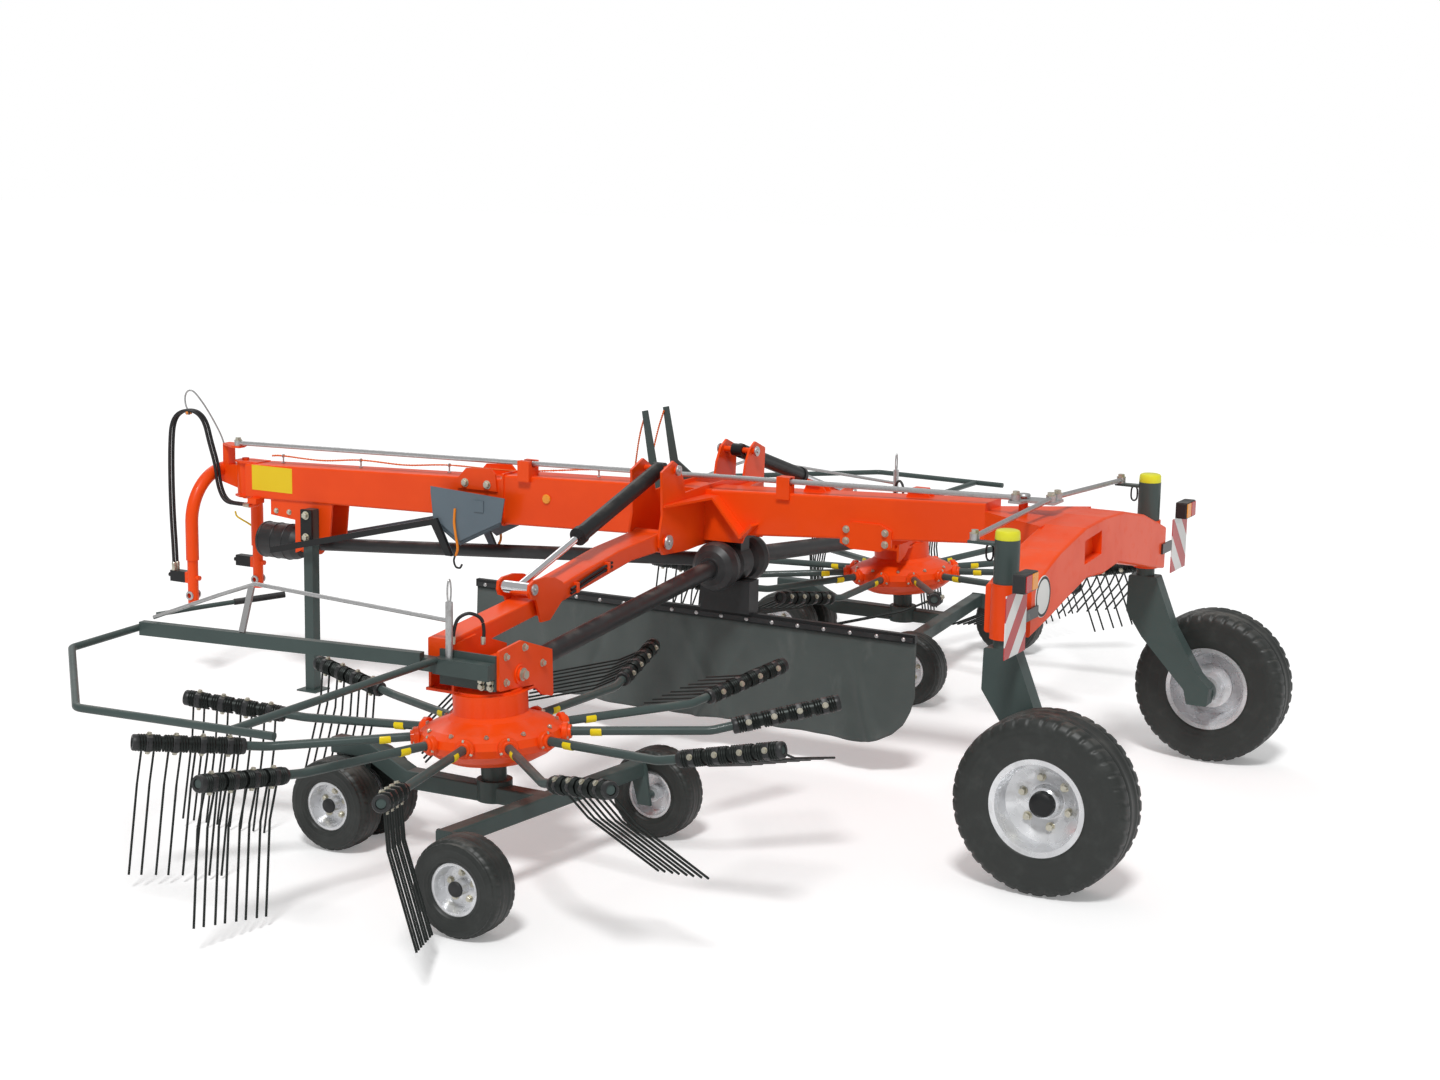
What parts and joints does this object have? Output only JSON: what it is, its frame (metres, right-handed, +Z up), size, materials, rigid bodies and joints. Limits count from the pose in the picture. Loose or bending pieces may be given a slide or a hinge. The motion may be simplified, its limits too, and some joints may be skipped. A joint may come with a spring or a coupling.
{
  "type": "twin rotor rotary rake",
  "caption": "Semi-mounted hay rake with two tine rotors lowered on folding arms, a swath curtain between them, a steered rear axle and a hitch arch at the front.",
  "frame": {"origin": "on the ground under the middle of the machine", "axes": "+X forward to the tractor hitch, +Y to the left, +Z up"},
  "size_m": [5.986, 7.3878, 1.7294],
  "materials": {
    "orange_paint": "satin",
    "dark_grey_paint": "satin",
    "black_plastic": "matt",
    "tray_grey": "satin",
    "curtain_fabric": "matt",
    "tyre_rubber": "matt",
    "silver_rim": "gloss",
    "galvanised": "satin",
    "chrome": "polished",
    "spring_steel": "satin",
    "hose_rubber": "matt",
    "board": "reflective"
  },
  "bodies": {
    "frame": {"front_beam": "orange_paint", "rear_beam": "orange_paint", "centre_frame": "orange_paint", "axle_beam": "orange_paint", "front_bracket": "orange_paint", "pto_guard": "black_plastic", "drive_line": "black_plastic", "centre_gearbox": "black_plastic", "curtain_rail": "black_plastic", "curtain": "curtain_fabric", "side_racks": "tray_grey", "marker_boards": "board"},
    "headstock": {"headstock": "orange_paint", "pressure_hose": "hose_rubber", "return_hose": "hose_rubber"},
    "steering_rod": {"steering_rod": "galvanised"},
    "bell_crank": {"bell_crank": "galvanised"},
    "parking_stand": {"parking_stand": "dark_grey_paint"},
    "tie_rod_left": {"tie_rod_left": "galvanised"},
    "knuckle_left": {"knuckle_left": "dark_grey_paint"},
    "wheel_left": {"tyre_left": "tyre_rubber", "rim_left": "silver_rim"},
    "arm_left": {"arm_left": "orange_paint", "rotor_head_left": "orange_paint", "side_drive_left": "black_plastic", "guard_left": "dark_grey_paint", "height_crank_left": "galvanised", "chassis_left": "dark_grey_paint"},
    "lift_barrel_left": {"lift_barrel_left": "black_plastic"},
    "lift_rod_left": {"lift_rod_left": "chrome"},
    "rotor_left": {"rotor_hub_left": "orange_paint", "tine_arms_left": "dark_grey_paint", "tines_left": "spring_steel"},
    "outer_wheel_left": {"outer_tyre_left": "tyre_rubber", "outer_rim_left": "silver_rim"},
    "inner_wheel_left": {"inner_tyre_left": "tyre_rubber", "inner_rim_left": "silver_rim"},
    "twin_wheels_left": {"twin_tyres_left": "tyre_rubber", "twin_rims_left": "silver_rim"},
    "tie_rod_right": {"tie_rod_right": "galvanised"},
    "knuckle_right": {"knuckle_right": "dark_grey_paint"},
    "wheel_right": {"tyre_right": "tyre_rubber", "rim_right": "silver_rim"},
    "arm_right": {"arm_right": "orange_paint", "rotor_head_right": "orange_paint", "side_drive_right": "black_plastic", "guard_right": "dark_grey_paint", "height_crank_right": "galvanised", "chassis_right": "dark_grey_paint"},
    "lift_barrel_right": {"lift_barrel_right": "black_plastic"},
    "lift_rod_right": {"lift_rod_right": "chrome"},
    "rotor_right": {"rotor_hub_right": "orange_paint", "tine_arms_right": "dark_grey_paint", "tines_right": "spring_steel"},
    "outer_wheel_right": {"outer_tyre_right": "tyre_rubber", "outer_rim_right": "silver_rim"},
    "inner_wheel_right": {"inner_tyre_right": "tyre_rubber", "inner_rim_right": "silver_rim"},
    "twin_wheels_right": {"twin_tyres_right": "tyre_rubber", "twin_rims_right": "silver_rim"}
  },
  "joints": [
    {"name": "headstock_turn", "type": "hinge", "parent": "frame", "child": "headstock", "pos_m": [2.662, 0, 1.136], "axis": [0, 0, 1], "range_deg": [-55, 55]},
    {"name": "steering_slide", "type": "slide", "parent": "frame", "child": "steering_rod", "axis": [1, 0, 0], "range_m": [-0.06, 0.06]},
    {"name": "crank_turn", "type": "hinge", "parent": "frame", "child": "bell_crank", "pos_m": [-1.998, 0, 1.446], "axis": [0, 0, 1], "range_deg": [-34, 34]},
    {"name": "knuckle_turn_left", "type": "hinge", "parent": "frame", "child": "knuckle_left", "pos_m": [-2.298, 0.97, 1.2], "axis": [0, 0, 1], "range_deg": [-34, 34]},
    {"name": "tie_turn_left", "type": "hinge", "parent": "bell_crank", "child": "tie_rod_left", "pos_m": [-2.148, 0.045, 1.46], "axis": [0, 0, 1], "range_deg": [-34, 34]},
    {"name": "wheel_spin_left", "type": "hinge", "parent": "knuckle_left", "child": "wheel_left", "pos_m": [-2.608, 1.21, 0.385], "axis": [0, 1, 0], "continuous": true},
    {"name": "arm_fold_left", "type": "hinge", "parent": "frame", "child": "arm_left", "pos_m": [-0.268, 0.5, 1.15], "axis": [1, 0, 0], "range_deg": [0, 85]},
    {"name": "lift_turn_left", "type": "hinge", "parent": "frame", "child": "lift_barrel_left", "pos_m": [-0.268, 0.41, 1.49], "axis": [1, 0, 0], "range_deg": [0, 93]},
    {"name": "lift_slide_left", "type": "slide", "parent": "lift_barrel_left", "child": "lift_rod_left", "axis": [0, 0.9568, -0.2909], "range_m": [-0.48, 0]},
    {"name": "rotor_spin_left", "type": "hinge", "parent": "arm_left", "child": "rotor_left", "pos_m": [-0.458, 2.14, 0.59], "axis": [0.0558, 0, 0.9984], "continuous": true},
    {"name": "outer_spin_left", "type": "hinge", "parent": "arm_left", "child": "outer_wheel_left", "pos_m": [-0.848, 2.91, 0.2025], "axis": [0, 1, 0], "continuous": true},
    {"name": "inner_spin_left", "type": "hinge", "parent": "arm_left", "child": "inner_wheel_left", "pos_m": [-0.848, 1.4, 0.2025], "axis": [0, 1, 0], "continuous": true},
    {"name": "twin_spin_left", "type": "hinge", "parent": "arm_left", "child": "twin_wheels_left", "pos_m": [0.252, 2.16, 0.2025], "axis": [0, 1, 0], "continuous": true},
    {"name": "knuckle_turn_right", "type": "hinge", "parent": "frame", "child": "knuckle_right", "pos_m": [-2.298, -0.97, 1.2], "axis": [0, 0, 1], "range_deg": [-34, 34]},
    {"name": "tie_turn_right", "type": "hinge", "parent": "bell_crank", "child": "tie_rod_right", "pos_m": [-2.148, -0.045, 1.46], "axis": [0, 0, 1], "range_deg": [-34, 34]},
    {"name": "wheel_spin_right", "type": "hinge", "parent": "knuckle_right", "child": "wheel_right", "pos_m": [-2.608, -1.21, 0.385], "axis": [0, 1, 0], "continuous": true},
    {"name": "arm_fold_right", "type": "hinge", "parent": "frame", "child": "arm_right", "pos_m": [-0.268, -0.5, 1.15], "axis": [-1, 0, 0], "range_deg": [0, 85]},
    {"name": "lift_turn_right", "type": "hinge", "parent": "frame", "child": "lift_barrel_right", "pos_m": [-0.268, -0.41, 1.49], "axis": [-1, 0, 0], "range_deg": [0, 93]},
    {"name": "lift_slide_right", "type": "slide", "parent": "lift_barrel_right", "child": "lift_rod_right", "axis": [0, -0.9568, -0.2909], "range_m": [-0.48, 0]},
    {"name": "rotor_spin_right", "type": "hinge", "parent": "arm_right", "child": "rotor_right", "pos_m": [-0.458, -2.14, 0.59], "axis": [0.0558, 0, 0.9984], "continuous": true},
    {"name": "outer_spin_right", "type": "hinge", "parent": "arm_right", "child": "outer_wheel_right", "pos_m": [-0.848, -2.91, 0.2025], "axis": [0, 1, 0], "continuous": true},
    {"name": "inner_spin_right", "type": "hinge", "parent": "arm_right", "child": "inner_wheel_right", "pos_m": [-0.848, -1.4, 0.2025], "axis": [0, 1, 0], "continuous": true},
    {"name": "twin_spin_right", "type": "hinge", "parent": "arm_right", "child": "twin_wheels_right", "pos_m": [0.252, -2.16, 0.2025], "axis": [0, 1, 0], "continuous": true},
    {"name": "stand_swing", "type": "hinge", "parent": "frame", "child": "parking_stand", "pos_m": [2.112, 0.115, 0.995], "axis": [0, 1, 0], "range_deg": [0, 80]}
  ],
  "couplings": [
    {"joint": "steering_slide", "follows": "headstock_turn", "m_per_rad": -0.06},
    {"joint": "crank_turn", "follows": "headstock_turn", "ratio": 0.6},
    {"joint": "knuckle_turn_left", "follows": "headstock_turn", "ratio": -0.6},
    {"joint": "tie_turn_left", "follows": "headstock_turn", "ratio": -0.6},
    {"joint": "lift_turn_left", "follows": "arm_fold_left", "ratio": 1.0711},
    {"joint": "lift_slide_left", "follows": "arm_fold_left", "m_per_rad": -0.3116},
    {"joint": "knuckle_turn_right", "follows": "headstock_turn", "ratio": -0.6},
    {"joint": "tie_turn_right", "follows": "headstock_turn", "ratio": -0.6},
    {"joint": "lift_turn_right", "follows": "arm_fold_right", "ratio": 1.0711},
    {"joint": "lift_slide_right", "follows": "arm_fold_right", "m_per_rad": -0.3116}
  ]
}
